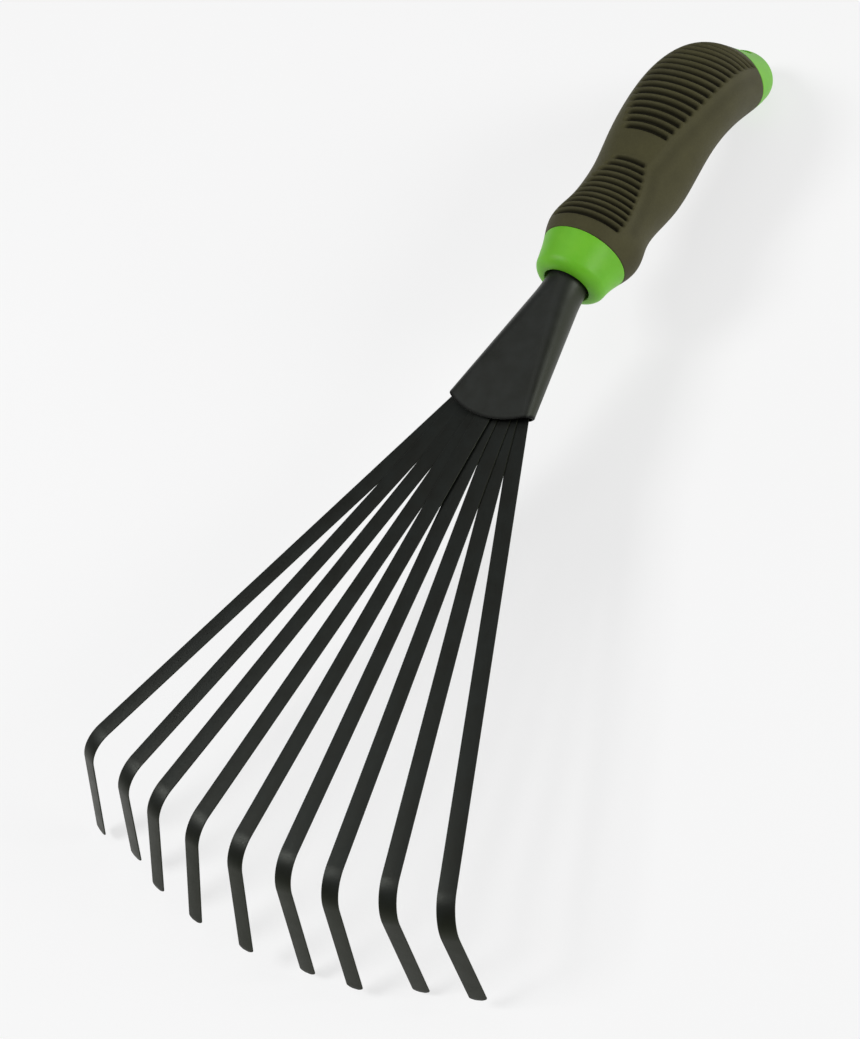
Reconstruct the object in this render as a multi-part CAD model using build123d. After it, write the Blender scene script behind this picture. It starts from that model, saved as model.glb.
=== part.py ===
from build123d import *
from math import cos, radians, sin, tan
import os

# Hand rake, millimetres. It is drawn with X along the ferrule towards the tines, Z up and the
# mouth of the ferrule at X = 0. At the end it moves so that the origin is under its middle.

# ---- tines: flat spring steel strips ----
STRIP_WIDTH = 5.9
STRIP_THICKNESS = 0.5
STRIP_EDGE_RADIUS = 0.2
BEND_RADIUS = 13.0          # outer face of the bend
ROOT_DEPTH = 15.0           # how far the strips go into the ferrule
TIP_ARC_RADIUS = 4.5
TIP_CORNER_RADIUS = 0.8
TIP_ZONE = 1.5              # length of the hook that its rounded end takes up

# One row a strip, from the -Y side: fan angle, offset at the mouth, length from the mouth to the
# corner where blade and hook would meet, hook angle, hook length and level in the stack. They are
# bent by hand, so no two are quite alike.
STRIPS = [
    (-19.5, -13.4, 172.4, 63.5, 47.0, 5),
    (-13.6, -11.15, 171.6, 64, 41.8, 4),
    (-9.65, -6.6, 171.6, 58, 40.4, 3),
    (-4.75, -2.3, 171.6, 55.5, 39.9, 1),
    (0.5, 0.1, 171.6, 59, 43.0, 0),
    (5.8, 1.8, 171.6, 66, 48.2, 2),
    (10.1, 5.9, 171.4, 65.7, 46.2, 3),
    (15.9, 7.9, 171.6, 72.5, 46.6, 4),
    (21.1, 11.7, 172.9, 73, 42.2, 5),
]

# ---- ferrule: a rolled sheet socket, round at the neck and flattened at the mouth ----
SHEET = 0.7
LIP_BOW = 6.0               # how far the lip bows out over the strips
LIP_HALF_CHORD = 18.0
LIP_TILT = 20.0             # the lip slants back towards the underside
MOUTH_WIDTH = 36.2          # outside, at the tip of the lip, if the taper ran on to it
MOUTH_HEIGHT = 4.8
MOUTH_Y = -0.5              # the hand flattened mouth sits a little to one side
MOUTH_Z = -1.5
MOUTH_TOP_CORNER = 2.8      # the sheet rolls softly over the stack and turns tightly under it
MOUTH_BOTTOM_CORNER = 1.2
NECK_DIAMETER = 15.4
NECK_CORNER = 7.6
NECK_X = -50.0              # the taper runs into the round neck here
NECK_Z = -4.2
TANG_LENGTH = 44.0          # round tube that goes into the handle
SEAM_WIDTH = 0.5
SEAM_DEPTH = 0.5
WELD_LENGTH = 5.0

# ---- handle ----
# Sections from collar to butt: X, Z, droop of the axis, half width, half height.
HANDLE_SECTIONS = [
    (-54.1, -4.2, 0, 12.9, 12.8),
    (-59.0, -4.2, 0, 13.7, 13.7),
    (-66.0, -4.8, 3, 15.5, 15.7),
    (-74.0, -5.8, 5, 18.0, 17.8),
    (-83.0, -6.9, 8, 16.7, 16.6),
    (-94.0, -8.9, 10, 16.2, 16.3),
    (-106.0, -11.2, 4, 17.3, 17.5),
    (-120.0, -10.3, 0, 18.2, 18.2),
    (-134.0, -10.1, 6, 18.4, 18.5),
    (-146.0, -12.3, 18, 18.5, 18.5),
    (-157.0, -17.4, 33, 17.8, 18.0),
    (-167.0, -25.2, 40, 16.4, 15.4),
    (-175.5, -32.6, 41, 15.0, 12.9),
    (-180.7, -36.9, 40.5, 13.8, 11.6),
    (-186.4, -41.3, 40, 12.2, 10.2),
]
RIM_RADIUS = 3.6            # rounding of the collar's front edge
BUTT_RADIUS = 3.5           # rounding of the butt's end face
SKIN = 3.2                  # thickness of the rubber
COLLAR_END_X = -67.4        # where collar and rubber meet, on the axis
COLLAR_END_TILT = 3.0
BUTT_START_X = -175.0       # where rubber and butt meet, on the axis
BUTT_START_Z = -27.5
BUTT_START_TILT = 18.0
BORE_CLEARANCE = 0.05
BORE_END_GAP = 1.0
BORE_MOUTH_DIAMETER = 17.2
BORE_MOUTH_DEPTH = 4.0

HOLE_DIAMETER = 7.0         # hanging hole
HOLE_X = -180.5
HOLE_Z = -36.0
HOLE_TILT = 30.0
HOLE_LENGTH = 16.0          # between the flats around its two mouths
HOLE_FLAT_DIAMETER = 9.4

GROOVE_WIDTH = 1.7
GROOVE_DEPTH = 0.9
GROOVE_OFFSET = 1.5         # the groove panels sit a little round to the +Y side
FRONT_GROOVES = 11
FRONT_GROOVE_X = -73.5
FRONT_GROOVE_PITCH = 3.1
FRONT_PANEL_WIDEST = 12.6   # half width of the groove panel at the collar
FRONT_PANEL_NARROWEST = 6.0
FRONT_PANEL_POWER = 1.4     # above 1 the panel keeps its width for longer
REAR_GROOVES = 17
REAR_GROOVE_X = -117.5
REAR_GROOVE_PITCH = 3.05
REAR_GROOVE_STRETCH = 0.019  # the pitch grows towards the butt, where the back slopes down
REAR_PANEL_WIDEST = 14.2    # half width over the palm
REAR_PANEL_NARROWEST = 8.6
REAR_PANEL_PEAK = 0.7       # where the panel is widest, as a share of its length

FAR = 200.0                 # bigger than anything that has to be cut through
PAST = 2.0                  # how far a cutter reaches past the end of what it cuts


def axis_plane(x, z, droop):
    """Plane across the handle at (x, z), facing the butt, turned down by droop degrees."""
    a = radians(droop)
    return Plane(origin=(x, 0, z), x_dir=(0, 1, 0), z_dir=(-cos(a), 0, -sin(a)))


def handle_body(inset):
    """The handle's outer shape, made smaller all round by inset."""
    sections = []
    for x, z, droop, half_width, half_height in HANDLE_SECTIONS:
        sections.append(axis_plane(x, z, droop) * Ellipse(half_width - inset, half_height - inset))
    return loft(sections)


def rounded_handle():
    """Full size handle with its collar rim and butt end rounded."""
    body = handle_body(0)
    rim = body.edges().sort_by(Axis.X)[-1]
    body = fillet(rim, RIM_RADIUS)
    end_face = body.faces().filter_by(GeomType.PLANE).sort_by(Axis.X)[0]
    return fillet(end_face.edges(), BUTT_RADIUS)


def half_space(plane):
    """Everything on the side of the plane that its normal points to."""
    return plane * Pos(0, 0, FAR / 2) * Box(FAR, FAR, FAR)


def spine_z(x):
    """Height of the handle's axis at x, straight between the sections."""
    for near, far in zip(HANDLE_SECTIONS, HANDLE_SECTIONS[1:]):
        if x >= far[0]:
            share = (x - near[0]) / (far[0] - near[0])
            return near[1] + share * (far[1] - near[1])
    return HANDLE_SECTIONS[-1][1]


def front_half_width(x):
    """Half width of the front groove panel: wide at the collar, narrow at the middle."""
    share = (FRONT_GROOVE_X - x) / (FRONT_GROOVE_PITCH * (FRONT_GROOVES - 1))
    return FRONT_PANEL_WIDEST - (FRONT_PANEL_WIDEST - FRONT_PANEL_NARROWEST) * share ** FRONT_PANEL_POWER


def rear_groove_x(i):
    return REAR_GROOVE_X - i * REAR_GROOVE_PITCH - i ** 2 * REAR_GROOVE_STRETCH


def rear_half_width(x):
    """Half width of the rear groove panel: narrow at the middle, widest over the palm."""
    share = (REAR_GROOVE_X - x) / (REAR_GROOVE_X - rear_groove_x(REAR_GROOVES - 1))
    from_peak = 1 - share / REAR_PANEL_PEAK
    return REAR_PANEL_WIDEST - (REAR_PANEL_WIDEST - REAR_PANEL_NARROWEST) * from_peak ** 2


def groove_bar(x, half_width):
    """Block over one groove, from the axis upwards."""
    bar = Box(GROOVE_WIDTH, 2 * half_width, FAR, align=(Align.CENTER, Align.CENTER, Align.MIN))
    return Pos(x, GROOVE_OFFSET, spine_z(x)) * bar


def groove_cutter():
    bars = []
    for i in range(FRONT_GROOVES):
        x = FRONT_GROOVE_X - i * FRONT_GROOVE_PITCH
        bars.append(groove_bar(x, front_half_width(x)))
    for i in range(REAR_GROOVES):
        x = rear_groove_x(i)
        bars.append(groove_bar(x, rear_half_width(x)))
    floor = handle_body(GROOVE_DEPTH)
    return [bar - floor for bar in bars]


def tang_bore():
    """Blind bore for the tang, with a wider mouth."""
    start = HANDLE_SECTIONS[0][0]
    depth = TANG_LENGTH - (NECK_X - start) + BORE_END_GAP
    from_mouth = (Align.CENTER, Align.CENTER, Align.MIN)
    bore = Cylinder(NECK_DIAMETER / 2 + BORE_CLEARANCE, depth, align=from_mouth)
    mouth = Cylinder(BORE_MOUTH_DIAMETER / 2, BORE_MOUTH_DEPTH, align=from_mouth)
    return axis_plane(start, NECK_Z, 0) * (bore + mouth)


def hanging_hole():
    """Through hole with a flat recess round each mouth."""
    a = radians(HOLE_TILT)
    plane = Plane(origin=(HOLE_X, 0, HOLE_Z), x_dir=(0, 1, 0), z_dir=(-sin(a), 0, cos(a)))
    hole = Cylinder(HOLE_DIAMETER / 2, FAR / 2)
    flat = Cylinder(HOLE_FLAT_DIAMETER / 2, FAR / 4, align=(Align.CENTER, Align.CENTER, Align.MIN))
    upper = Pos(0, 0, HOLE_LENGTH / 2) * flat
    lower = Pos(0, 0, -HOLE_LENGTH / 2 - FAR / 4) * flat
    return plane * (hole + upper + lower)


def make_handle():
    """The green core moulding and the rubber moulded over it."""
    body = rounded_handle()
    spine = handle_body(SKIN)
    behind_collar = half_space(axis_plane(COLLAR_END_X, HANDLE_SECTIONS[2][1], COLLAR_END_TILT))
    butt_side = half_space(axis_plane(BUTT_START_X, BUTT_START_Z, BUTT_START_TILT))
    sleeve_zone = behind_collar - butt_side
    grip = (body & sleeve_zone) - spine
    for cutter in groove_cutter():
        grip -= cutter
    collar = body - behind_collar
    butt = body & butt_side
    core = collar + (spine & sleeve_zone) + butt
    core -= tang_bore()
    core -= hanging_hole()
    return core, grip


def ferrule_section(x, inset):
    """Rounded section across the ferrule at x, linear between the neck and the mouth."""
    share = (x - NECK_X) / (LIP_BOW - NECK_X)
    width = NECK_DIAMETER + share * (MOUTH_WIDTH - NECK_DIAMETER) - 2 * inset
    height = NECK_DIAMETER + share * (MOUTH_HEIGHT - NECK_DIAMETER) - 2 * inset
    top_corner = NECK_CORNER + share * (MOUTH_TOP_CORNER - NECK_CORNER) - inset
    bottom_corner = NECK_CORNER + share * (MOUTH_BOTTOM_CORNER - NECK_CORNER) - inset
    z = NECK_Z + share * (MOUTH_Z - NECK_Z)
    section = Rectangle(width, height)
    section = fillet(section.vertices().group_by(Axis.Y)[-1], top_corner)
    section = fillet(section.vertices().group_by(Axis.Y)[0], bottom_corner)
    return Plane(origin=(x, share * MOUTH_Y, z), x_dir=(0, 1, 0), z_dir=(1, 0, 0)) * section


def ferrule_taper(inset, end_x):
    return loft([ferrule_section(NECK_X, inset), ferrule_section(end_x, inset)], ruled=True)


def ferrule_tang(inset):
    return extrude(ferrule_section(NECK_X, inset), amount=-TANG_LENGTH)


def lip_cutter(end_x):
    """Removes what lies beyond the bowed lip."""
    radius = (LIP_HALF_CHORD ** 2 + LIP_BOW ** 2) / (2 * LIP_BOW)
    block = Pos(-LIP_BOW, 0, 0) * Box(2 * end_x, FAR, FAR, align=(Align.MIN, Align.CENTER, Align.CENTER))
    beyond = block - Pos(-radius, 0, 0) * Cylinder(radius, FAR)
    return Pos(LIP_BOW, 0, MOUTH_Z + MOUTH_HEIGHT / 2) * Rot(0, LIP_TILT, 0) * beyond


def seam_cutter(end_x):
    """Thin wedge along the underside, where the two edges of the sheet meet."""
    bottom_neck = NECK_Z - NECK_DIAMETER / 2
    bottom_mouth = MOUTH_Z - MOUTH_HEIGHT / 2
    slope = (bottom_mouth - bottom_neck) / (LIP_BOW - NECK_X)
    bottom_end = bottom_mouth + slope * (end_x - LIP_BOW)
    tang_end = NECK_X - TANG_LENGTH - PAST
    outline = Polyline(
        (tang_end, bottom_neck + SEAM_DEPTH), (NECK_X, bottom_neck + SEAM_DEPTH),
        (end_x, bottom_end + SEAM_DEPTH), (end_x, bottom_neck - PAST), (tang_end, bottom_neck - PAST),
        close=True)
    return extrude(make_face(Plane.XZ * outline), amount=SEAM_WIDTH / 2, both=True)


def make_ferrule():
    end_x = LIP_BOW + PAST
    shell = ferrule_taper(0, end_x) + ferrule_tang(0)
    hollow = ferrule_taper(SHEET, end_x) + ferrule_tang(SHEET)
    shell -= hollow
    shell -= lip_cutter(end_x)
    shell -= seam_cutter(end_x)
    return shell, hollow


def strip_path(reach, hook_angle, hook_length):
    """Centre line of a strip in its own plane: blade along X from the mouth, hook downwards."""
    a = radians(hook_angle)
    radius = BEND_RADIUS - STRIP_THICKNESS / 2
    lead = BEND_RADIUS * tan(a / 2)
    depth = STRIP_THICKNESS / 2
    bend_x = reach - lead
    blade_end = (bend_x, -depth)
    middle = (bend_x + radius * sin(a / 2), -depth - radius * (1 - cos(a / 2)))
    hook_start = (bend_x + radius * sin(a), -depth - radius * (1 - cos(a)))
    run = hook_length - lead
    hook_end = (hook_start[0] + run * cos(a), hook_start[1] - run * sin(a))
    blade = Line((-ROOT_DEPTH, -depth), blade_end)
    bend = ThreePointArc(blade_end, middle, hook_start)
    hook = Line(hook_start, hook_end)
    return blade + bend + hook, hook_end


def tip_cutter(hook_end, hook_angle):
    """Leaves a shallow arc with rounded corners at the end of the hook."""
    tip = Circle(TIP_ARC_RADIUS) & Rectangle(2 * TIP_ARC_RADIUS, STRIP_WIDTH)
    tip = fillet(tip.vertices().group_by(Axis.X)[-1], TIP_CORNER_RADIUS)
    waste = Rectangle(TIP_ZONE + PAST, STRIP_WIDTH + PAST, align=(Align.MIN, Align.CENTER))
    waste = Pos(-TIP_ZONE, 0) * waste - Pos(-TIP_ARC_RADIUS, 0) * tip
    a = radians(hook_angle)
    along, out = (cos(a), 0, -sin(a)), (sin(a), 0, cos(a))
    plane = Plane(origin=(hook_end[0], 0, hook_end[1]), x_dir=along, z_dir=out)
    return extrude(plane * waste, amount=PAST, both=True)


def make_strip(fan_angle, offset, reach, hook_angle, hook_length, level):
    path, hook_end = strip_path(reach, hook_angle, hook_length)
    path = Plane.XZ * path
    start = Plane(origin=(-ROOT_DEPTH, 0, -STRIP_THICKNESS / 2), x_dir=(0, 1, 0), z_dir=(1, 0, 0))
    section = start * RectangleRounded(STRIP_WIDTH, STRIP_THICKNESS, STRIP_EDGE_RADIUS)
    strip = sweep(section, path=path)
    strip -= tip_cutter(hook_end, hook_angle)
    return Pos(0, offset, -level * STRIP_THICKNESS) * Rot(0, 0, fan_angle) * strip


def make_weld(hollow, strips):
    """Weld that fills the ferrule round the ends of the strips."""
    zone = Pos(-ROOT_DEPTH, 0, 0) * Box(WELD_LENGTH, FAR, FAR)
    weld = hollow & zone
    for strip in strips:
        weld -= strip
    return weld


core, grip = make_handle()
ferrule, hollow = make_ferrule()
strips = [make_strip(*row) for row in STRIPS]
parts = {"handle_core": core, "soft_grip": grip, "ferrule": ferrule}
parts["root_weld"] = make_weld(hollow, strips)
for number, strip in enumerate(strips, start=1):
    parts[f"tine_{number}"] = strip

box = Compound(children=[part.solid() for part in parts.values()]).bounding_box()
to_origin = Pos(-box.center().X, -box.center().Y, -box.min.Z)

os.makedirs("parts", exist_ok=True)
for name, part in parts.items():
    export_step(to_origin * part, f"parts/{name}.step")
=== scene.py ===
"""Hand rake: the looks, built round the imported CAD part.

Lengths are millimetres in the tool's own axes: X along the ferrule towards the tines, the mouth of
the ferrule at X = 0, Z up, and the top of the middle strip at Z = 0. to_row() turns them into the
row's metres.
"""

import math

import bmesh
import bpy
import numpy as np
from mathutils import Matrix, Vector


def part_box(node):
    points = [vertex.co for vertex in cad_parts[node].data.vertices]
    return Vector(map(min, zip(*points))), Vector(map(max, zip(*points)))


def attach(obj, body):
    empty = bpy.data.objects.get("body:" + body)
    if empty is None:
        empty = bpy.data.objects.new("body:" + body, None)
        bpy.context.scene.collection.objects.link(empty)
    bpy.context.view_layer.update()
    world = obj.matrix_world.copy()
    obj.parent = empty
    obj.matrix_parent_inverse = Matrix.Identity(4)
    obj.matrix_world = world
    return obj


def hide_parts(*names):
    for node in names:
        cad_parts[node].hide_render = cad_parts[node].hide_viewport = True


MM = 0.001

# ---- handle, the same sections as the CAD: X, Z, droop of the axis, half width, half height ----
HANDLE_SECTIONS = [
    (-54.1, -4.2, 0, 12.9, 12.8),
    (-59.0, -4.2, 0, 13.7, 13.7),
    (-66.0, -4.8, 3, 15.5, 15.7),
    (-74.0, -5.8, 5, 18.0, 17.8),
    (-83.0, -6.9, 8, 16.7, 16.6),
    (-94.0, -8.9, 10, 16.2, 16.3),
    (-106.0, -11.2, 4, 17.3, 17.5),
    (-120.0, -10.3, 0, 18.2, 18.2),
    (-134.0, -10.1, 6, 18.4, 18.5),
    (-146.0, -12.3, 18, 18.5, 18.5),
    (-157.0, -17.4, 33, 17.8, 18.0),
    (-167.0, -25.2, 40, 16.4, 15.4),
    (-175.5, -32.6, 41, 15.0, 12.9),
    (-180.7, -36.9, 40.5, 13.8, 11.6),
    (-186.4, -41.3, 40, 12.2, 10.2),
]
COLLAR_END = (-67.4, -4.8, 3)       # X, Z and tilt of the plane where collar and rubber meet
BUTT_START = (-175.0, -27.5, 18)    # the same where rubber and butt meet
RIM_RADIUS = 3.6
BUTT_RADIUS = 3.5
BUTT_DOME = 0.5                     # how far the butt's end bulges
SKIN = 3.2
SPINE_GAP = 0.02                    # keeps the spine off the inside of the rubber
JOINT_ROUNDING = 0.35               # rounding of each edge where rubber and plastic meet
BORE_RADIUS = 7.75
BORE_TIP_RADIUS = 1.5               # the flat the bore's end closes on
BORE_DEPTH = 42.0
BORE_STATIONS = (30, 18, 8)         # rings along the bore
MOUTH_RADIUS = 8.6                  # the wider mouth of the bore
MOUTH_DEPTH = 4.0
MOUTH_EDGE = 0.4

HOLE = (-180.5, -36.0, 30)          # hanging hole: X, Z and tilt
HOLE_RADIUS = 3.5
HOLE_MOUTH = 1.6                    # how far the hole's mouths flare
HOLE_LENGTH = 16.0
HOLE_CUTTER_REACH = 30.0            # past the butt on both sides

GROOVE_DEPTH = 1.7
GROOVE_SHARPNESS = 1.8              # above 1 the valleys are wider and the ribs narrower
FRONT_GROOVES = 11
FRONT_GROOVE_X = -74.6
FRONT_GROOVE_PITCH = 2.95
REAR_GROOVES = 17
REAR_GROOVE_X = -117.5
REAR_GROOVE_PITCH = 3.05
REAR_GROOVE_STRETCH = 0.019
REAR_GROOVE_SWEEP = 0.02            # how strongly the last grooves curve back at their ends
REAR_PANEL_LENGTH = 53.5
PANEL_CHANGE_X = -104.0             # the hollow follows the front panel up to here
PANEL_CHANGE_LENGTH = 14.0
RIGHT_FADE = 4.5                    # degrees over which a groove runs out at its right end
LEFT_FADE = 12.0
SCOOP_DEPTH = 0.45                  # shallow hollow in the flank beside the grooves
SCOOP_WIDTH = 42.0                  # degrees
SCOOP_START_X = -70.0
SCOOP_END_X = -176.0
SCOOP_RUN_OUT = 9.0

# ---- ferrule ----
SHEET = 0.7
LIP_BOW = 6.0
LIP_HALF_CHORD = 18.0
LIP_TILT = 20.0                     # the lip slants back towards the underside
NECK_DIAMETER = 15.4
NECK_CORNER = 7.6
NECK_X = -50.0
NECK_Z = -4.2
NECK_BLEND = 9.0                    # length over which the taper starts
TANG_LENGTH = 44.0
MOUTH_WIDTH = 36.2
MOUTH_HEIGHT = 4.8
MOUTH_Y = -0.5                      # the mouth sits a little to one side
MOUTH_Z = -1.5
MOUTH_TOP_CORNER = 2.8
MOUTH_BOTTOM_CORNER = 1.2
SEAM_WIDTH = 0.5
SEAM_DEPTH = 0.45

# ---- strips: fan angle, offset at the mouth, reach, hook angle, hook length, level in the stack ----
STRIPS = [
    (-19.5, -13.4, 172.4, 63.5, 47.0, 5),
    (-13.6, -11.15, 171.6, 64, 41.8, 4),
    (-9.65, -6.6, 171.6, 58, 40.4, 3),
    (-4.75, -2.3, 171.6, 55.5, 39.9, 1),
    (0.5, 0.1, 171.6, 59, 43.0, 0),
    (5.8, 1.8, 171.6, 66, 48.2, 2),
    (10.1, 5.9, 171.4, 65.7, 46.2, 3),
    (15.9, 7.9, 171.6, 72.5, 46.6, 4),
    (21.1, 11.7, 172.9, 73, 42.2, 5),
]
STRIP_WIDTH = 5.9
STRIP_THICKNESS = 0.5
STRIP_EDGE = 0.2
BEND_RADIUS = 13.0
ROOT_DEPTH = 15.0
TIP_ARC_RADIUS = 4.5
TIP_CORNER_RADIUS = 0.8

# ---- how finely the surfaces are divided ----
AXIS_SAMPLES = 1600
ANGLE_SAMPLES = 2000
GRIP_COLUMNS = 300
GRIP_CROWDING = 2.2                 # how much closer the columns are over the grooves
CROWDING_CENTRE = 10.0              # degrees
CROWDING_SPREAD = 62.0              # degrees
GRIP_LENGTH = 107.0                 # about; it only spaces the rings
GRIP_RINGS = 520
SPINE_RINGS = 24
CORE_COLUMNS = 192
CORE_RINGS = 40
ROUNDING_RINGS = 15
JOINT_ROUNDING_RINGS = 6
HOLE_COLUMNS = 96
FERRULE_STATIONS = np.concatenate([[0, 0.2, 0.38], np.linspace(0.4, 1, 60)])  # shares of its length
WIDEST_SEAM_SHARE = 0.3             # of the underside, for the close points at the seam
FAR_FROM_TIP = 999.0
TIP_START = 2.0                     # from here to a hook's end the stations stand close together
TIP_STATIONS = [1.6, 1.48, 1.35, 1.15, 0.95, 0.7, 0.5, 0.32, 0.2, 0.12, 0.06, 0.02, 0.004]

# ---- camera, in tool millimetres and degrees, and stage ----
CAMERA_AT = (208.2, 281.3, 444.9)
CAMERA_AZIMUTH = 149.9
CAMERA_ELEVATION = 54.1
CAMERA_ROLL = -34.6
FOCAL_LENGTH = 57.7
FLOOR_SIZE = 8.0                    # metres

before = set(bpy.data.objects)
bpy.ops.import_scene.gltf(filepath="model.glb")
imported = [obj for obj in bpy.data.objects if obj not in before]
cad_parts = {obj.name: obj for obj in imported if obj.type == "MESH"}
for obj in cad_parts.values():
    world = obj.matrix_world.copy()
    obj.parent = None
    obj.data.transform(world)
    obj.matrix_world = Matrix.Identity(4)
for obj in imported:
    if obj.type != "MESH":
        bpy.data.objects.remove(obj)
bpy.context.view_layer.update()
ORIGIN = Vector((
    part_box("ferrule")[0][0] - (NECK_X - TANG_LENGTH) * MM,
    (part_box("handle_core")[0][1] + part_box("handle_core")[1][1]) / 2,
    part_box("tine_5")[1][2],
))


def to_row(points):
    """Tool millimetres to row metres."""
    return np.asarray(points, float) * MM + np.array(ORIGIN)


# ---------------------------------------------------------------- mesh helpers

def smooth_step(x):
    x = np.clip(x, 0, 1)
    return x * x * (3 - 2 * x)


def natural_spline(knots, values):
    """Function that runs smoothly through the values at the knots, straight at both ends."""
    knots = np.asarray(knots, float)
    values = np.asarray(values, float)
    n = len(knots)
    gaps = np.diff(knots)
    system = np.zeros((n, n))
    right = np.zeros(n)
    system[0, 0] = 1
    system[-1, -1] = 1
    for i in range(1, n - 1):
        system[i, i - 1:i + 2] = gaps[i - 1], 2 * (gaps[i - 1] + gaps[i]), gaps[i]
        rise = (values[i + 1] - values[i]) / gaps[i] - (values[i] - values[i - 1]) / gaps[i - 1]
        right[i] = 6 * rise
    bends = np.linalg.solve(system, right)

    def at(t):
        t = np.clip(t, knots[0], knots[-1])
        i = np.clip(np.searchsorted(knots, t) - 1, 0, n - 2)
        gap = gaps[i]
        left = (knots[i + 1] - t) / gap
        ahead = (t - knots[i]) / gap
        cubic = (left ** 3 - left) * bends[i] + (ahead ** 3 - ahead) * bends[i + 1]
        return left * values[i] + ahead * values[i + 1] + cubic * gap ** 2 / 6

    return at


def grid_object(name, rings, loop, relief=None):
    """Mesh from rings of points, shape (rings, columns, 3), in tool millimetres.

    Columns always close on themselves. With loop the rings do too, otherwise both ends are capped.
    relief, if given, is kept as a number on each point for the material to read."""
    rings = np.asarray(rings, float)
    count, around = rings.shape[:2]
    verts = rings.reshape(-1, 3)
    faces = []
    for i in range(count if loop else count - 1):
        here = i * around
        there = (i + 1) % count * around
        for j in range(around):
            k = (j + 1) % around
            faces.append((here + j, here + k, there + k, there + j))
    if not loop:
        centres = np.array([rings[0].mean(0), rings[-1].mean(0)])
        first = len(verts)
        verts = np.vstack([verts, centres])
        for j in range(around):
            k = (j + 1) % around
            faces.append((first, k, j))
            faces.append((first + 1, (count - 1) * around + j, (count - 1) * around + k))
    mesh = bpy.data.meshes.new(name)
    mesh.from_pydata(to_row(verts).tolist(), [], faces)
    if relief is not None:
        layer = mesh.attributes.new("relief", "FLOAT", "POINT")
        layer.data.foreach_set("value", np.asarray(relief, float).ravel())
    obj = bpy.data.objects.new(name, mesh)
    bpy.context.collection.objects.link(obj)
    tidy_normals(mesh)
    return obj


def tidy_normals(mesh, sharp_angle=50):
    """Outward normals and smooth shading, with sharp edges where the surface really turns."""
    bm = bmesh.new()
    bm.from_mesh(mesh)
    bmesh.ops.remove_doubles(bm, verts=bm.verts, dist=1e-7)
    bmesh.ops.recalc_face_normals(bm, faces=bm.faces)
    bm.to_mesh(mesh)
    bm.free()
    mesh.shade_smooth()
    mesh.set_sharp_from_angle(angle=math.radians(sharp_angle))


def finish_piece(obj, node, material):
    obj.data.materials.clear()
    obj.data.materials.append(material)
    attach(obj, "root")
    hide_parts(node)


# ---------------------------------------------------------------- handle surface

def section_lengths():
    """Distance along the handle's axis of each section."""
    lengths = [0.0]
    for near, far in zip(HANDLE_SECTIONS, HANDLE_SECTIONS[1:]):
        lengths.append(lengths[-1] + math.hypot(far[0] - near[0], far[1] - near[1]))
    return lengths


LENGTHS = section_lengths()
AXIS_X, AXIS_Z, AXIS_DROOP, HALF_WIDTH, HALF_HEIGHT = [
    natural_spline(LENGTHS, column) for column in zip(*HANDLE_SECTIONS)]


def handle_point(t, angle, inset):
    """Points of the handle's skin at distance t along its axis and angle from the top towards +Y."""
    droop = np.radians(AXIS_DROOP(t))
    side = (HALF_WIDTH(t) - inset) * np.sin(angle)
    up = (HALF_HEIGHT(t) - inset) * np.cos(angle)
    return np.stack([AXIS_X(t) - up * np.sin(droop), side, AXIS_Z(t) + up * np.cos(droop)], -1)


def crossing(plane, angles):
    """Distance along the axis at which the skin meets the plane, for each angle."""
    x, z, tilt = plane
    a = math.radians(tilt)
    t = np.linspace(0, LENGTHS[-1], AXIS_SAMPLES)
    found = []
    for angle in angles:
        p = handle_point(t, angle, 0)
        beyond = (x - p[:, 0]) * math.cos(a) + (z - p[:, 2]) * math.sin(a)
        first = np.argmax(beyond > 0)
        share = -beyond[first - 1] / (beyond[first] - beyond[first - 1])
        found.append(t[first - 1] + share * (t[first] - t[first - 1]))
    return np.array(found)


def edge_inset(distance, radius):
    """How far a rounded edge of this radius falls back at a distance from the edge."""
    d = np.clip(distance, 0, radius)
    return radius - np.sqrt(np.maximum(radius ** 2 - (radius - d) ** 2, 0))


def valley(p):
    """Groove profile over one pitch: 1 in the valley, 0 on top of the ribs."""
    return np.where(np.abs(p) < 0.5, 1 - np.abs(np.sin(np.pi * p)) ** GROOVE_SHARPNESS, 0)


def panel(index, count, turn, right, left):
    """Groove depth share for a float groove index, inside the panel's right and left limits."""
    n = np.clip(np.round(index), 0, count - 1)
    share = n / (count - 1)
    right_end = smooth_step((right(share) - turn) / RIGHT_FADE)
    left_end = smooth_step((turn - left(share)) / LEFT_FADE)
    return valley(index - n) * right_end * left_end


def front_right(s):
    return 52 + 12 * s - 32 * s ** 2


def front_left(s):
    return -48 - 2 * s + 32 * s ** 2


def rear_right(s):
    return 39 + 56 * s - 39 * s ** 2


def rear_left(s):
    return -25 - 58 * s + 78 * s ** 3


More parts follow.
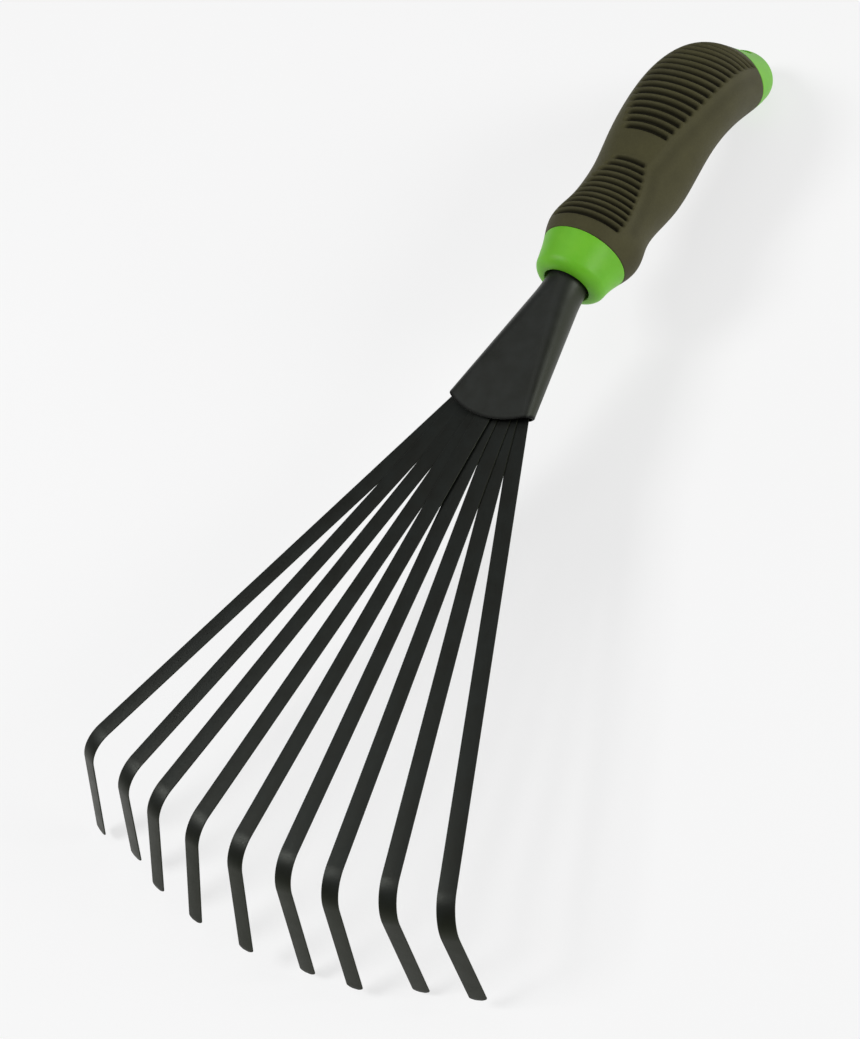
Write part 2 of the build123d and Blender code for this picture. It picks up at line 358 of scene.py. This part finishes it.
def grip_relief(points, angle):
    """How far the grip's skin lies under the plain surface: grooves and the hollow beside them."""
    x = points[..., 0]
    y = points[..., 1]
    turn = np.degrees(angle)
    front = (FRONT_GROOVE_X - x) / FRONT_GROOVE_PITCH
    rear_run = np.clip((REAR_GROOVE_X - x) / REAR_PANEL_LENGTH, 0, 1)
    swept = REAR_GROOVE_X - x - REAR_GROOVE_SWEEP * rear_run * y ** 2
    inside = np.maximum(REAR_GROOVE_PITCH ** 2 + 4 * REAR_GROOVE_STRETCH * swept, 0)
    rear = (np.sqrt(inside) - REAR_GROOVE_PITCH) / (2 * REAR_GROOVE_STRETCH)
    grooves = panel(front, FRONT_GROOVES, turn, front_right, front_left)
    grooves = grooves + panel(rear, REAR_GROOVES, turn, rear_right, rear_left)
    front_share = np.clip(front / (FRONT_GROOVES - 1), 0, 1)
    rear_share = np.clip(rear / (REAR_GROOVES - 1), 0, 1)
    blend = smooth_step((PANEL_CHANGE_X - x) / PANEL_CHANGE_LENGTH)
    limit = (1 - blend) * front_right(front_share) + blend * rear_right(rear_share)
    beside = np.clip((turn - limit) / SCOOP_WIDTH, 0, 1)
    scoop = np.sin(np.pi * beside ** 0.6) ** 2
    ends = smooth_step((SCOOP_START_X - x) / SCOOP_RUN_OUT) * smooth_step((x - SCOOP_END_X) / SCOOP_RUN_OUT)
    return GROOVE_DEPTH * grooves + SCOOP_DEPTH * scoop * ends


def uneven_angles():
    """Angles once round the handle, denser round the top where the grooves are."""
    fine = np.linspace(-math.pi, math.pi, ANGLE_SAMPLES)
    from_centre = (fine - math.radians(CROWDING_CENTRE)) / math.radians(CROWDING_SPREAD)
    density = 1 + GRIP_CROWDING * np.exp(-from_centre ** 4)
    total = np.concatenate([[0], np.cumsum((density[1:] + density[:-1]) / 2)])
    return np.interp(np.arange(GRIP_COLUMNS) / GRIP_COLUMNS, total / total[-1], fine)


def edge_spacing(length, middle_steps, radius):
    """Shares of the length from 0 to 1, with extra steps inside the rounding at each end."""
    turn = np.linspace(0, math.pi / 2, JOINT_ROUNDING_RINGS)[:-1]
    start = radius * (1 - np.cos(turn)) / length
    middle = np.linspace(radius / length, 1 - radius / length, middle_steps)
    return np.concatenate([start, middle, 1 - start[::-1]])


def make_grip():
    angles = uneven_angles()
    start = crossing(COLLAR_END, angles)
    end = crossing(BUTT_START, angles)
    shares = edge_spacing(GRIP_LENGTH, GRIP_RINGS, JOINT_ROUNDING)
    outer = []
    depths = []
    for share in shares:
        t = start + share * (end - start)
        near_edge = np.minimum(t - start, end - t)
        flat = handle_point(t, angles, 0)
        relief = grip_relief(flat, angles)
        # groove depth share, from which the rubber material paints shade into the valleys
        depths.append(relief / GROOVE_DEPTH)
        outer.append(handle_point(t, angles, edge_inset(near_edge, JOINT_ROUNDING) + relief))
    inner = []
    for share in np.linspace(1, 0, SPINE_RINGS):
        inner.append(handle_point(start + share * (end - start), angles, SKIN))
        depths.append(np.ones_like(angles))
    return grid_object("grip_rubber", outer + inner, loop=True, relief=depths)


def circle(x, z, radius, angles):
    """Ring of points across the ferrule's axis."""
    return np.stack([np.full_like(angles, x), radius * np.sin(angles), z + radius * np.cos(angles)], -1)


def make_core():
    """Collar, the spine under the rubber, and the butt, as one closed moulding with its bore."""
    angles = np.linspace(-math.pi, math.pi, CORE_COLUMNS, endpoint=False)
    front = HANDLE_SECTIONS[0][0]
    start = crossing(COLLAR_END, angles)
    end = crossing(BUTT_START, angles)
    last = LENGTHS[-1]
    rings = [circle(front - BORE_DEPTH, NECK_Z, r, angles) for r in (BORE_TIP_RADIUS, BORE_RADIUS)]
    rings += [circle(front - d, NECK_Z, BORE_RADIUS, angles) for d in BORE_STATIONS]
    rings += [circle(front - MOUTH_DEPTH, NECK_Z, r, angles) for r in (BORE_RADIUS, MOUTH_RADIUS)]
    rings += [circle(front - d, NECK_Z, MOUTH_RADIUS, angles) for d in (MOUTH_DEPTH / 2, MOUTH_EDGE)]
    for turn in np.linspace(0, math.pi / 2, JOINT_ROUNDING_RINGS)[1:]:
        x = front - MOUTH_EDGE * (1 - math.sin(turn))
        rings.append(circle(x, NECK_Z, MOUTH_RADIUS + MOUTH_EDGE * (1 - math.cos(turn)), angles))
    for turn in np.linspace(0, math.pi / 2, ROUNDING_RINGS):
        distance = RIM_RADIUS * (1 - math.cos(turn))
        inset = edge_inset(distance, RIM_RADIUS)
        rings.append(handle_point(np.full_like(angles, distance), angles, inset))
    for share in np.linspace(0, 1, CORE_RINGS)[1:]:
        t = RIM_RADIUS + share * (start - JOINT_ROUNDING - RIM_RADIUS)
        rings.append(handle_point(t, angles, 0))
    rounding = JOINT_ROUNDING * np.cos(np.linspace(0, math.pi / 2, JOINT_ROUNDING_RINGS)[1:])
    rings += [handle_point(start - d, angles, edge_inset(d, JOINT_ROUNDING)) for d in rounding]
    for share in np.linspace(0, 1, SPINE_RINGS):
        rings.append(handle_point(start + share * (end - start), angles, SKIN + SPINE_GAP))
    rings += [handle_point(end + d, angles, edge_inset(d, JOINT_ROUNDING)) for d in rounding[::-1]]
    for share in np.linspace(0, 1, CORE_RINGS):
        t = end + JOINT_ROUNDING + share * (last - BUTT_RADIUS - end - JOINT_ROUNDING)
        rings.append(handle_point(t, angles, 0))
    for turn in np.linspace(0, math.pi / 2, ROUNDING_RINGS)[1:]:
        distance = BUTT_RADIUS * (1 - math.sin(turn))
        inset = edge_inset(distance, BUTT_RADIUS)
        rings.append(handle_point(np.full_like(angles, last - distance), angles, inset))
    rim = rings[-1]
    middle = rim.mean(0)
    droop = math.radians(HANDLE_SECTIONS[-1][2])
    outward = np.array([-math.cos(droop), 0, -math.sin(droop)])
    for share in (0.85, 0.65, 0.45, 0.25, 0.08):
        rings.append(middle + (rim - middle) * share + outward * BUTT_DOME * (1 - share ** 2))
    core = grid_object("core_plastic", rings, loop=False)
    cut_hanging_hole(core)
    return core


def cut_hanging_hole(core):
    """Cuts the flared hanging hole through the butt."""
    x, z, tilt = HOLE
    profile = hole_profile(HOLE_LENGTH / 2)
    angles = np.linspace(0, 2 * math.pi, HOLE_COLUMNS, endpoint=False)
    a = math.radians(tilt)
    along = np.array([-math.sin(a), 0, math.cos(a)])
    across = np.array([math.cos(a), 0, math.sin(a)])
    side = np.array([0, 1, 0])
    centre = np.array([x, 0, z])
    rings = []
    for height, radius in profile:
        middle = centre + along * height
        rings.append([middle + radius * (across * math.cos(b) + side * math.sin(b)) for b in angles])
    cutter = grid_object("hole_cutter", rings, loop=False)
    cut = core.modifiers.new("hole", "BOOLEAN")
    cut.operation = "DIFFERENCE"
    cut.solver = "EXACT"
    cut.object = cutter
    apply_modifiers(core)
    bpy.data.objects.remove(cutter)
    core.data.shade_smooth()
    core.data.set_sharp_from_angle(angle=math.radians(40))


def hole_profile(half):
    """Height and radius up the hanging hole: straight in the middle, flared at both mouths."""
    flare = []
    for turn in np.linspace(0, math.pi / 2, 9):
        height = half - HOLE_MOUTH + HOLE_MOUTH * math.sin(turn)
        flare.append((height, HOLE_RADIUS + HOLE_MOUTH * (1 - math.cos(turn))))
    upper = flare + [(HOLE_CUTTER_REACH, HOLE_RADIUS + HOLE_MOUTH)]
    lower = [(-height, radius) for height, radius in upper[::-1]]
    return lower + upper


def apply_modifiers(obj):
    """Turns the object's modifiers into plain mesh."""
    graph = bpy.context.evaluated_depsgraph_get()
    mesh = bpy.data.meshes.new_from_object(obj.evaluated_get(graph))
    obj.modifiers.clear()
    obj.data = mesh


# ---------------------------------------------------------------- ferrule

def rounded_section(width, height, top_corner, bottom_corner):
    """Points round a section, looking at the mouth: across, up. The same count for any size."""
    corner_steps = 12
    side_steps = 10
    half_w = width / 2
    half_h = height / 2
    corners = [
        (half_w - bottom_corner, -half_h + bottom_corner, bottom_corner, -90),
        (half_w - top_corner, half_h - top_corner, top_corner, 0),
        (-half_w + top_corner, half_h - top_corner, top_corner, 90),
        (-half_w + bottom_corner, -half_h + bottom_corner, bottom_corner, 180),
    ]
    points = []
    for corner, following in zip(corners, corners[1:] + corners[:1]):
        cx, cz, radius, start = corner
        for turn in np.radians(np.linspace(start, start + 90, corner_steps + 1)):
            points.append((cx + radius * math.cos(turn), cz + radius * math.sin(turn)))
        turn = math.radians(following[3])
        goal_x = following[0] + following[2] * math.cos(turn)
        goal_z = following[1] + following[2] * math.sin(turn)
        here_x, here_z = points[-1]
        if start == 180:
            shares = seam_shares(abs(goal_x - here_x))
        else:
            shares = np.linspace(0, 1, side_steps + 1)[1:-1]
        for share in shares:
            points.append((here_x + share * (goal_x - here_x), here_z + share * (goal_z - here_z)))
    return np.array(points)


def seam_shares(length):
    """Where the underside's points go: close together at the seam in the middle."""
    near = min(SEAM_WIDTH / max(length, SEAM_WIDTH), WIDEST_SEAM_SHARE)
    inner = np.array([-near, -near / 2, -near / 6, near / 6, near / 2, near]) + 0.5
    outer = np.linspace(0, 0.5 - near, 5)[1:-1]
    return np.concatenate([outer, inner, 1 - outer[::-1]])


def taper_share(x):
    """0 at the neck and 1 at the tip of the lip, with a smooth start."""
    run = np.maximum(x - NECK_X + NECK_BLEND / 2, 0)
    eased = np.where(run < NECK_BLEND, run ** 2 / (2 * NECK_BLEND), run - NECK_BLEND / 2)
    return eased / (LIP_BOW - NECK_X)


def ferrule_ring(x_columns, inset):
    """Ring of the ferrule with its own X for each column."""
    neck = rounded_section(NECK_DIAMETER - 2 * inset, NECK_DIAMETER - 2 * inset,
                           NECK_CORNER - inset, NECK_CORNER - inset)
    mouth = rounded_section(MOUTH_WIDTH - 2 * inset, MOUTH_HEIGHT - 2 * inset,
                            MOUTH_TOP_CORNER - inset, MOUTH_BOTTOM_CORNER - inset)
    share = taper_share(x_columns)[:, None]
    across = neck + share * (mouth - neck)
    z = NECK_Z + share[:, 0] * (MOUTH_Z - NECK_Z) + across[:, 1]
    return np.stack([x_columns, across[:, 0] + share[:, 0] * MOUTH_Y, z], -1)


def lip_x(inset):
    """X of the bowed lip for each column."""
    radius = (LIP_HALF_CHORD ** 2 + LIP_BOW ** 2) / (2 * LIP_BOW)
    tilt = math.radians(LIP_TILT)
    columns = len(rounded_section(MOUTH_WIDTH, MOUTH_HEIGHT, MOUTH_TOP_CORNER, MOUTH_BOTTOM_CORNER))
    x = np.zeros(columns)
    for _ in range(6):
        ring = ferrule_ring(x, inset)
        back = (radius - np.sqrt(radius ** 2 - ring[:, 1] ** 2)) / math.cos(tilt)
        x = LIP_BOW - back + math.tan(tilt) * (ring[:, 2] - MOUTH_Z - MOUTH_HEIGHT / 2)
    return x


def seam_relief(ring):
    """Depth of the seam for each column: a narrow V along the underside."""
    under = ring[:, 2] < ring[:, 2].mean()
    off_centre = np.abs(ring[:, 1] - ring[:, 1].mean())
    return np.where(under, SEAM_DEPTH * np.clip(1 - off_centre / (SEAM_WIDTH / 2), 0, 1), 0)


def make_ferrule():
    outer_end = lip_x(0) - SHEET / 2
    inner_end = lip_x(SHEET) - SHEET / 2
    back = NECK_X - TANG_LENGTH
    rings = []
    for share in FERRULE_STATIONS:
        ring = ferrule_ring(back + share * (outer_end - back), 0)
        ring[:, 2] += seam_relief(ring)
        rings.append(ring)
    outside = len(rings)
    for turn in np.linspace(0, math.pi, 9)[1:-1]:
        inset = SHEET / 2 * (1 - math.cos(turn))
        mix = inset / SHEET
        end = (1 - mix) * outer_end + mix * inner_end + SHEET / 2 * math.sin(turn)
        ring = ferrule_ring(end, inset)
        ring[:, 2] += seam_relief(ring) * (1 - mix)
        rings.append(ring)
    for share in FERRULE_STATIONS[::-1]:
        rings.append(ferrule_ring(back + share * (inner_end - back), SHEET))
    # marks the lip's rounded edge, from the last outer ring on, and the whole inside for painted shade
    lip_and_inside_shade = np.zeros(np.shape(rings)[:2])
    lip_and_inside_shade[outside - 1:] = 1
    return grid_object("ferrule_shell", rings, loop=True, relief=lip_and_inside_shade)


# ---------------------------------------------------------------- strips

def strip_section(half_width, half_thickness):
    """Points round a strip's section: across, out."""
    edge_w = min(STRIP_EDGE, half_width * 0.9)
    edge_t = min(STRIP_EDGE, half_thickness * 0.9)
    points = []
    for sx, sz, start in ((1, 1, 0), (-1, 1, 90), (-1, -1, 180), (1, -1, 270)):
        for turn in np.radians(np.linspace(start, start + 90, 6)):
            x = sx * (half_width - edge_w) + edge_w * math.cos(turn)
            z = sz * (half_thickness - edge_t) + edge_t * math.sin(turn)
            points.append((x, z))
    return np.array(points)


def tip_half_width(distance):
    """Half width of a hook at a distance from its end: a shallow arc with rounded corners."""
    corner_y = STRIP_WIDTH / 2 - TIP_CORNER_RADIUS
    reach = TIP_ARC_RADIUS - TIP_CORNER_RADIUS
    corner_d = TIP_ARC_RADIUS - math.sqrt(reach ** 2 - corner_y ** 2)
    turn = math.asin(corner_y / reach)
    arc_end = TIP_ARC_RADIUS * (1 - math.cos(turn))
    if distance < arc_end:
        return math.sqrt(TIP_ARC_RADIUS ** 2 - (TIP_ARC_RADIUS - distance) ** 2)
    if distance < corner_d:
        return corner_y + math.sqrt(TIP_CORNER_RADIUS ** 2 - (corner_d - distance) ** 2)
    return STRIP_WIDTH / 2


def strip_stations(reach, hook_angle, hook_length):
    """X, Z, slope and distance from the end for each station along a strip."""
    a = math.radians(hook_angle)
    radius = BEND_RADIUS - STRIP_THICKNESS / 2
    lead = BEND_RADIUS * math.tan(a / 2)
    depth = STRIP_THICKNESS / 2
    blade_end = reach - lead
    run = hook_length - lead
    stations = []
    for x in np.linspace(-ROOT_DEPTH, blade_end, 24)[:-1]:
        stations.append((x, -depth, 0.0, FAR_FROM_TIP))
    for turn in np.linspace(0, a, 33):
        x = blade_end + radius * math.sin(turn)
        stations.append((x, -depth - radius * (1 - math.cos(turn)), turn, FAR_FROM_TIP))
    corner_x = blade_end + radius * math.sin(a)
    corner_z = -depth - radius * (1 - math.cos(a))
    distances = list(np.linspace(run, TIP_START, 8)[1:]) + TIP_STATIONS
    for distance in distances:
        s = run - distance
        stations.append((corner_x + s * math.cos(a), corner_z - s * math.sin(a), a, distance))
    return stations


def make_strip(number, fan_angle, offset, reach, hook_angle, hook_length, level):
    fan = math.radians(fan_angle)
    rings = []
    for x, z, slope, distance in strip_stations(reach, hook_angle, hook_length):
        half_width = tip_half_width(distance)
        half_thickness = STRIP_THICKNESS / 2 - edge_inset(distance, STRIP_EDGE)
        section = strip_section(half_width, half_thickness)
        px = x + section[:, 1] * math.sin(slope)
        py = section[:, 0]
        pz = z + section[:, 1] * math.cos(slope) - level * STRIP_THICKNESS
        rings.append(np.stack([px * math.cos(fan) - py * math.sin(fan),
                               offset + px * math.sin(fan) + py * math.cos(fan), pz], -1))
    return grid_object(f"strip_{number}", rings, loop=False)


# ---------------------------------------------------------------- materials

class Nodes:
    """Short way to build a node material."""

    def __init__(self, name):
        self.material = bpy.data.materials.new(name)
        self.material.use_nodes = True
        self.tree = self.material.node_tree
        self.shader = self.tree.nodes["Principled BSDF"]

    def add(self, kind, **settings):
        node = self.tree.nodes.new(kind)
        for key, value in settings.items():
            if key in node.inputs:
                node.inputs[key].default_value = value
            else:
                setattr(node, key, value)
        return node

    def link(self, source, target):
        self.tree.links.new(source, target)

    def position(self):
        """Object position in millimetres."""
        coords = self.add("ShaderNodeTexCoord")
        scale = self.add("ShaderNodeVectorMath", operation="SCALE")
        scale.inputs["Scale"].default_value = 1000
        self.link(coords.outputs["Object"], scale.inputs[0])
        return scale.outputs["Vector"]

    def noise(self, vector, size, detail=3.0, roughness=0.55):
        """Noise with features about size millimetres across."""
        node = self.add("ShaderNodeTexNoise", Scale=1 / size, Detail=detail, Roughness=roughness)
        self.link(vector, node.inputs["Vector"])
        return node.outputs["Fac"]

    def remap(self, value, low, high, out_low, out_high):
        node = self.add("ShaderNodeMapRange")
        limits = {"From Min": low, "From Max": high, "To Min": out_low, "To Max": out_high}
        for key, number in limits.items():
            node.inputs[key].default_value = number
        self.link(value, node.inputs["Value"])
        return node.outputs["Result"]

    def maths(self, operation, a, b):
        node = self.add("ShaderNodeMath", operation=operation)
        for socket, value in zip(node.inputs, (a, b)):
            if isinstance(value, (int, float)):
                socket.default_value = value
            else:
                self.link(value, socket)
        return node.outputs["Value"]

    def mix(self, factor, a, b):
        """Mixes two colours, each a tuple or a socket."""
        node = self.add("ShaderNodeMix", data_type="RGBA")
        sockets = [node.inputs[0], node.inputs[6], node.inputs[7]]
        for socket, value in zip(sockets, (factor, a, b)):
            if isinstance(value, tuple):
                socket.default_value = (*value, 1)
            elif isinstance(value, (int, float)):
                socket.default_value = value
            else:
                self.link(value, socket)
        return node.outputs[2]

    def bump(self, height, distance_mm, strength=1.0, normal=None):
        node = self.add("ShaderNodeBump", Strength=strength)
        node.inputs["Distance"].default_value = distance_mm * MM
        self.link(height, node.inputs["Height"])
        if normal is not None:
            self.link(normal, node.inputs["Normal"])
        return node.outputs["Normal"]

    def set(self, **inputs):
        for key, value in inputs.items():
            socket = self.shader.inputs[key.replace("_", " ")]
            if isinstance(value, bpy.types.NodeSocket):
                self.link(value, socket)
            elif isinstance(value, tuple):
                socket.default_value = (*value, 1)
            else:
                socket.default_value = value


def rubber_material():
    """Dark olive-brown thermoplastic rubber with a fine spark-eroded grain."""
    n = Nodes("grip_rubber")
    at = n.position()
    grain = n.noise(at, 0.28, detail=4, roughness=0.65)
    patches = n.noise(at, 14, detail=2)
    speckle = n.noise(at, 0.9, detail=5, roughness=0.7)
    valley_shade = n.add("ShaderNodeAttribute", attribute_name="relief")
    dark = (0.041, 0.038, 0.018)
    light = (0.061, 0.057, 0.025)
    # painted shade: the near-black colour the groove valleys are given
    valley_painted_shade = (0.006, 0.0055, 0.004)
    depth = valley_shade.outputs["Fac"]
    tone = n.maths("ADD", n.remap(patches, 0.35, 0.65, 0.25, 0.65), n.remap(speckle, 0.3, 0.7, -0.2, 0.2))
    colour = n.mix(tone, dark, light)
    # painted shade: the deeper the groove, the nearer black and the less shiny the rubber
    colour = n.mix(n.remap(depth, 0.15, 0.8, 0, 0.92), colour, valley_painted_shade)
    shine = n.remap(depth, 0.2, 0.6, 0.24, 0.06)
    n.set(Base_Color=colour, Roughness=n.remap(grain, 0.3, 0.7, 0.58, 0.74), Specular_IOR_Level=shine,
          Normal=n.bump(grain, 0.06, 0.7), Specular_Tint=(1.0, 0.96, 0.66))
    return n.material


def plastic_material():
    """Bright green polypropylene with a soft gloss and faint flow marks."""
    n = Nodes("core_plastic")
    at = n.position()
    patches = n.noise(at, 9, detail=2)
    fine = n.noise(at, 0.5, detail=4, roughness=0.6)
    deep = (0.118, 0.405, 0.014)
    bright = (0.140, 0.440, 0.020)
    speck = (0.17, 0.47, 0.035)
    colour = n.mix(n.remap(patches, 0.35, 0.65, 0, 1), deep, bright)
    colour = n.mix(n.remap(fine, 0.45, 0.75, 0, 0.25), colour, speck)
    surface = n.bump(n.noise(at, 3.5, detail=2), 0.12, 0.35, n.bump(fine, 0.012, 0.5))
    n.set(Base_Color=colour, Roughness=n.remap(fine, 0.3, 0.7, 0.42, 0.52), Specular_IOR_Level=0.32,
          Specular_Tint=(0.95, 1.0, 0.80), Normal=surface,
          Subsurface_Weight=0.06, Subsurface_Scale=0.002)
    return n.material


def coated_steel(name, tint, shine, wear_and_highlight):
    """Thin satin black coat on steel: fine orange peel; edges a little paler from wear with a painted
    highlight on them, sides painted a paler olive as light, and the ferrule's lip edge and inside painted
    dark as shade.
    """
    black = (0.0075, 0.008, 0.0068)
    # painted light: the paler olive given to faces turned away from up
    side_painted_light = (0.0125, 0.0145, 0.0065)
    # edge wear and painted highlight: the pale colour along the edges
    wear_and_highlight_colour = (0.085, 0.078, 0.055)
    # painted shade for the ferrule's lip edge and inside
    cut = (0.003, 0.003, 0.003)
    n = Nodes(name)
    at = n.position()
    peel = n.noise(at, 0.45, detail=3)
    patches = n.noise(at, 7, detail=3)
    dust = n.noise(at, 0.22, detail=5, roughness=0.7)
    base = n.mix(n.remap(patches, 0.35, 0.65, 0, 1), black, tint)
    edge = n.add("ShaderNodeBevel", samples=4)
    edge.inputs["Radius"].default_value = 0.25 * MM
    geometry = n.add("ShaderNodeNewGeometry")
    facing = n.add("ShaderNodeVectorMath", operation="DOT_PRODUCT")
    n.link(edge.outputs["Normal"], facing.inputs[0])
    n.link(geometry.outputs["Normal"], facing.inputs[1])
    # edges found by the bevel turn paler: edge wear with a painted highlight on it
    wear_and_highlight_mask = n.remap(facing.outputs["Value"], 0.96, 0.80, 0.0, wear_and_highlight)
    wear_and_highlight_mask = n.maths("MULTIPLY", wear_and_highlight_mask, n.remap(dust, 0.42, 0.62, 0.2, 1.0))
    # painted light: faces turned away from up get the paler olive, the tops stay black
    facing_up = n.add("ShaderNodeSeparateXYZ")
    n.link(geometry.outputs["Normal"], facing_up.inputs[0])
    base = n.mix(n.remap(facing_up.outputs["Z"], 0.95, 0.5, 0, 1), base, side_painted_light)
    colour = n.mix(wear_and_highlight_mask, base, wear_and_highlight_colour)
    # painted shade: the ferrule's lip edge and inside go near black and lose most of their shine
    lip_and_inside_shade = n.add("ShaderNodeAttribute", attribute_name="relief").outputs["Fac"]
    colour = n.mix(lip_and_inside_shade, colour, cut)
    shine = n.remap(lip_and_inside_shade, 0, 1, shine, shine / 5)
    rough = n.maths("ADD", n.remap(peel, 0.3, 0.7, 0.36, 0.46), n.remap(patches, 0.3, 0.7, -0.03, 0.05))
    n.set(Base_Color=colour, Roughness=rough, Specular_IOR_Level=shine,
          Specular_Tint=(0.95, 1.0, 0.90), Normal=n.bump(peel, 0.02, 0.5, n.bump(dust, 0.006, 0.6)))
    return n.material


def weld_material():
    """Rough, lumpy weld under the same black coat."""
    n = Nodes("root_weld")
    at = n.position()
    lumps = n.noise(at, 1.6, detail=4, roughness=0.6)
    colour = n.mix(n.remap(lumps, 0.35, 0.65, 0, 1), (0.012, 0.012, 0.011), (0.05, 0.045, 0.038))
    n.set(Base_Color=colour, Roughness=0.7, Metallic=0.3, Normal=n.bump(lumps, 0.4, 0.8))
    return n.material


def floor_material():
    """Pale floor that glows a little, as a light table does, so that shadows stay faint."""
    n = Nodes("floor")
    at = n.position()
    soft = n.noise(at, 300, detail=2)
    colour = n.mix(n.remap(soft, 0.3, 0.7, 0, 1), (0.25, 0.25, 0.25), (0.26, 0.26, 0.26))
    n.set(Base_Color=colour, Roughness=0.9, Specular_IOR_Level=0.0,
          Emission_Color=(1, 1, 1), Emission_Strength=0.682)
    return n.material


# ---------------------------------------------------------------- stage

def make_floor():
    mesh = bpy.data.meshes.new("floor")
    half = FLOOR_SIZE / 2
    corners = [(-half, -half, 0), (half, -half, 0), (half, half, 0), (-half, half, 0)]
    mesh.from_pydata(corners, [], [(0, 1, 2, 3)])
    mesh.materials.append(floor_material())
    floor = bpy.data.objects.new("floor", mesh)
    bpy.context.collection.objects.link(floor)


def area_light(name, direction, distance, size, watts):
    """Square soft light that faces the tool from a direction."""
    data = bpy.data.lights.new(name, "AREA")
    data.energy = watts
    data.size = size
    light = bpy.data.objects.new(name, data)
    towards = Vector(direction).normalized()
    light.location = towards * distance
    light.rotation_mode = "QUATERNION"
    light.rotation_quaternion = towards.to_track_quat("Z", "Y")
    bpy.context.collection.objects.link(light)


def make_lights():
    area_light("key", (0.30, -0.50, 0.81), 1.6, 0.5, 14)
    area_light("side", (-0.29, 0.86, 0.38), 1.5, 0.6, 13)
    area_light("overhead", (-0.30, -0.05, 0.95), 2.0, 1.4, 4.7)
    world = bpy.data.worlds.new("studio")
    world.use_nodes = True
    world.node_tree.nodes["Background"].inputs["Color"].default_value = (0.22, 0.22, 0.225, 1)
    bpy.context.scene.world = world


def make_camera():
    data = bpy.data.cameras.new("camera")
    data.lens = FOCAL_LENGTH
    data.sensor_width = 36
    camera = bpy.data.objects.new("camera", data)
    turn = Matrix.Rotation(math.radians(CAMERA_AZIMUTH), 4, "Z")
    turn = turn @ Matrix.Rotation(math.radians(90 - CAMERA_ELEVATION), 4, "X")
    turn = turn @ Matrix.Rotation(math.radians(CAMERA_ROLL), 4, "Z")
    camera.matrix_world = Matrix.Translation(Vector(to_row(CAMERA_AT))) @ turn
    data.clip_start = 0.01
    data.clip_end = 20
    bpy.context.collection.objects.link(camera)
    bpy.context.scene.camera = camera


# ---------------------------------------------------------------- build

finish_piece(make_grip(), "soft_grip", rubber_material())
finish_piece(make_core(), "handle_core", plastic_material())
# last number: how strongly edge wear and painted edge highlight show
ferrule_coat = coated_steel("ferrule_coat", (0.011, 0.012, 0.0115), 0.37, 0.05)
finish_piece(make_ferrule(), "ferrule", ferrule_coat)
strip_coat = coated_steel("strip_coat", (0.0085, 0.0100, 0.0092), 0.18, 0.5)
for number, row in enumerate(STRIPS, start=1):
    finish_piece(make_strip(number, *row), f"tine_{number}", strip_coat)
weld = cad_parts["root_weld"]
weld.data.materials.clear()
weld.data.materials.append(weld_material())

make_floor()
make_lights()
make_camera()
bpy.context.scene.view_settings.view_transform = "Standard"
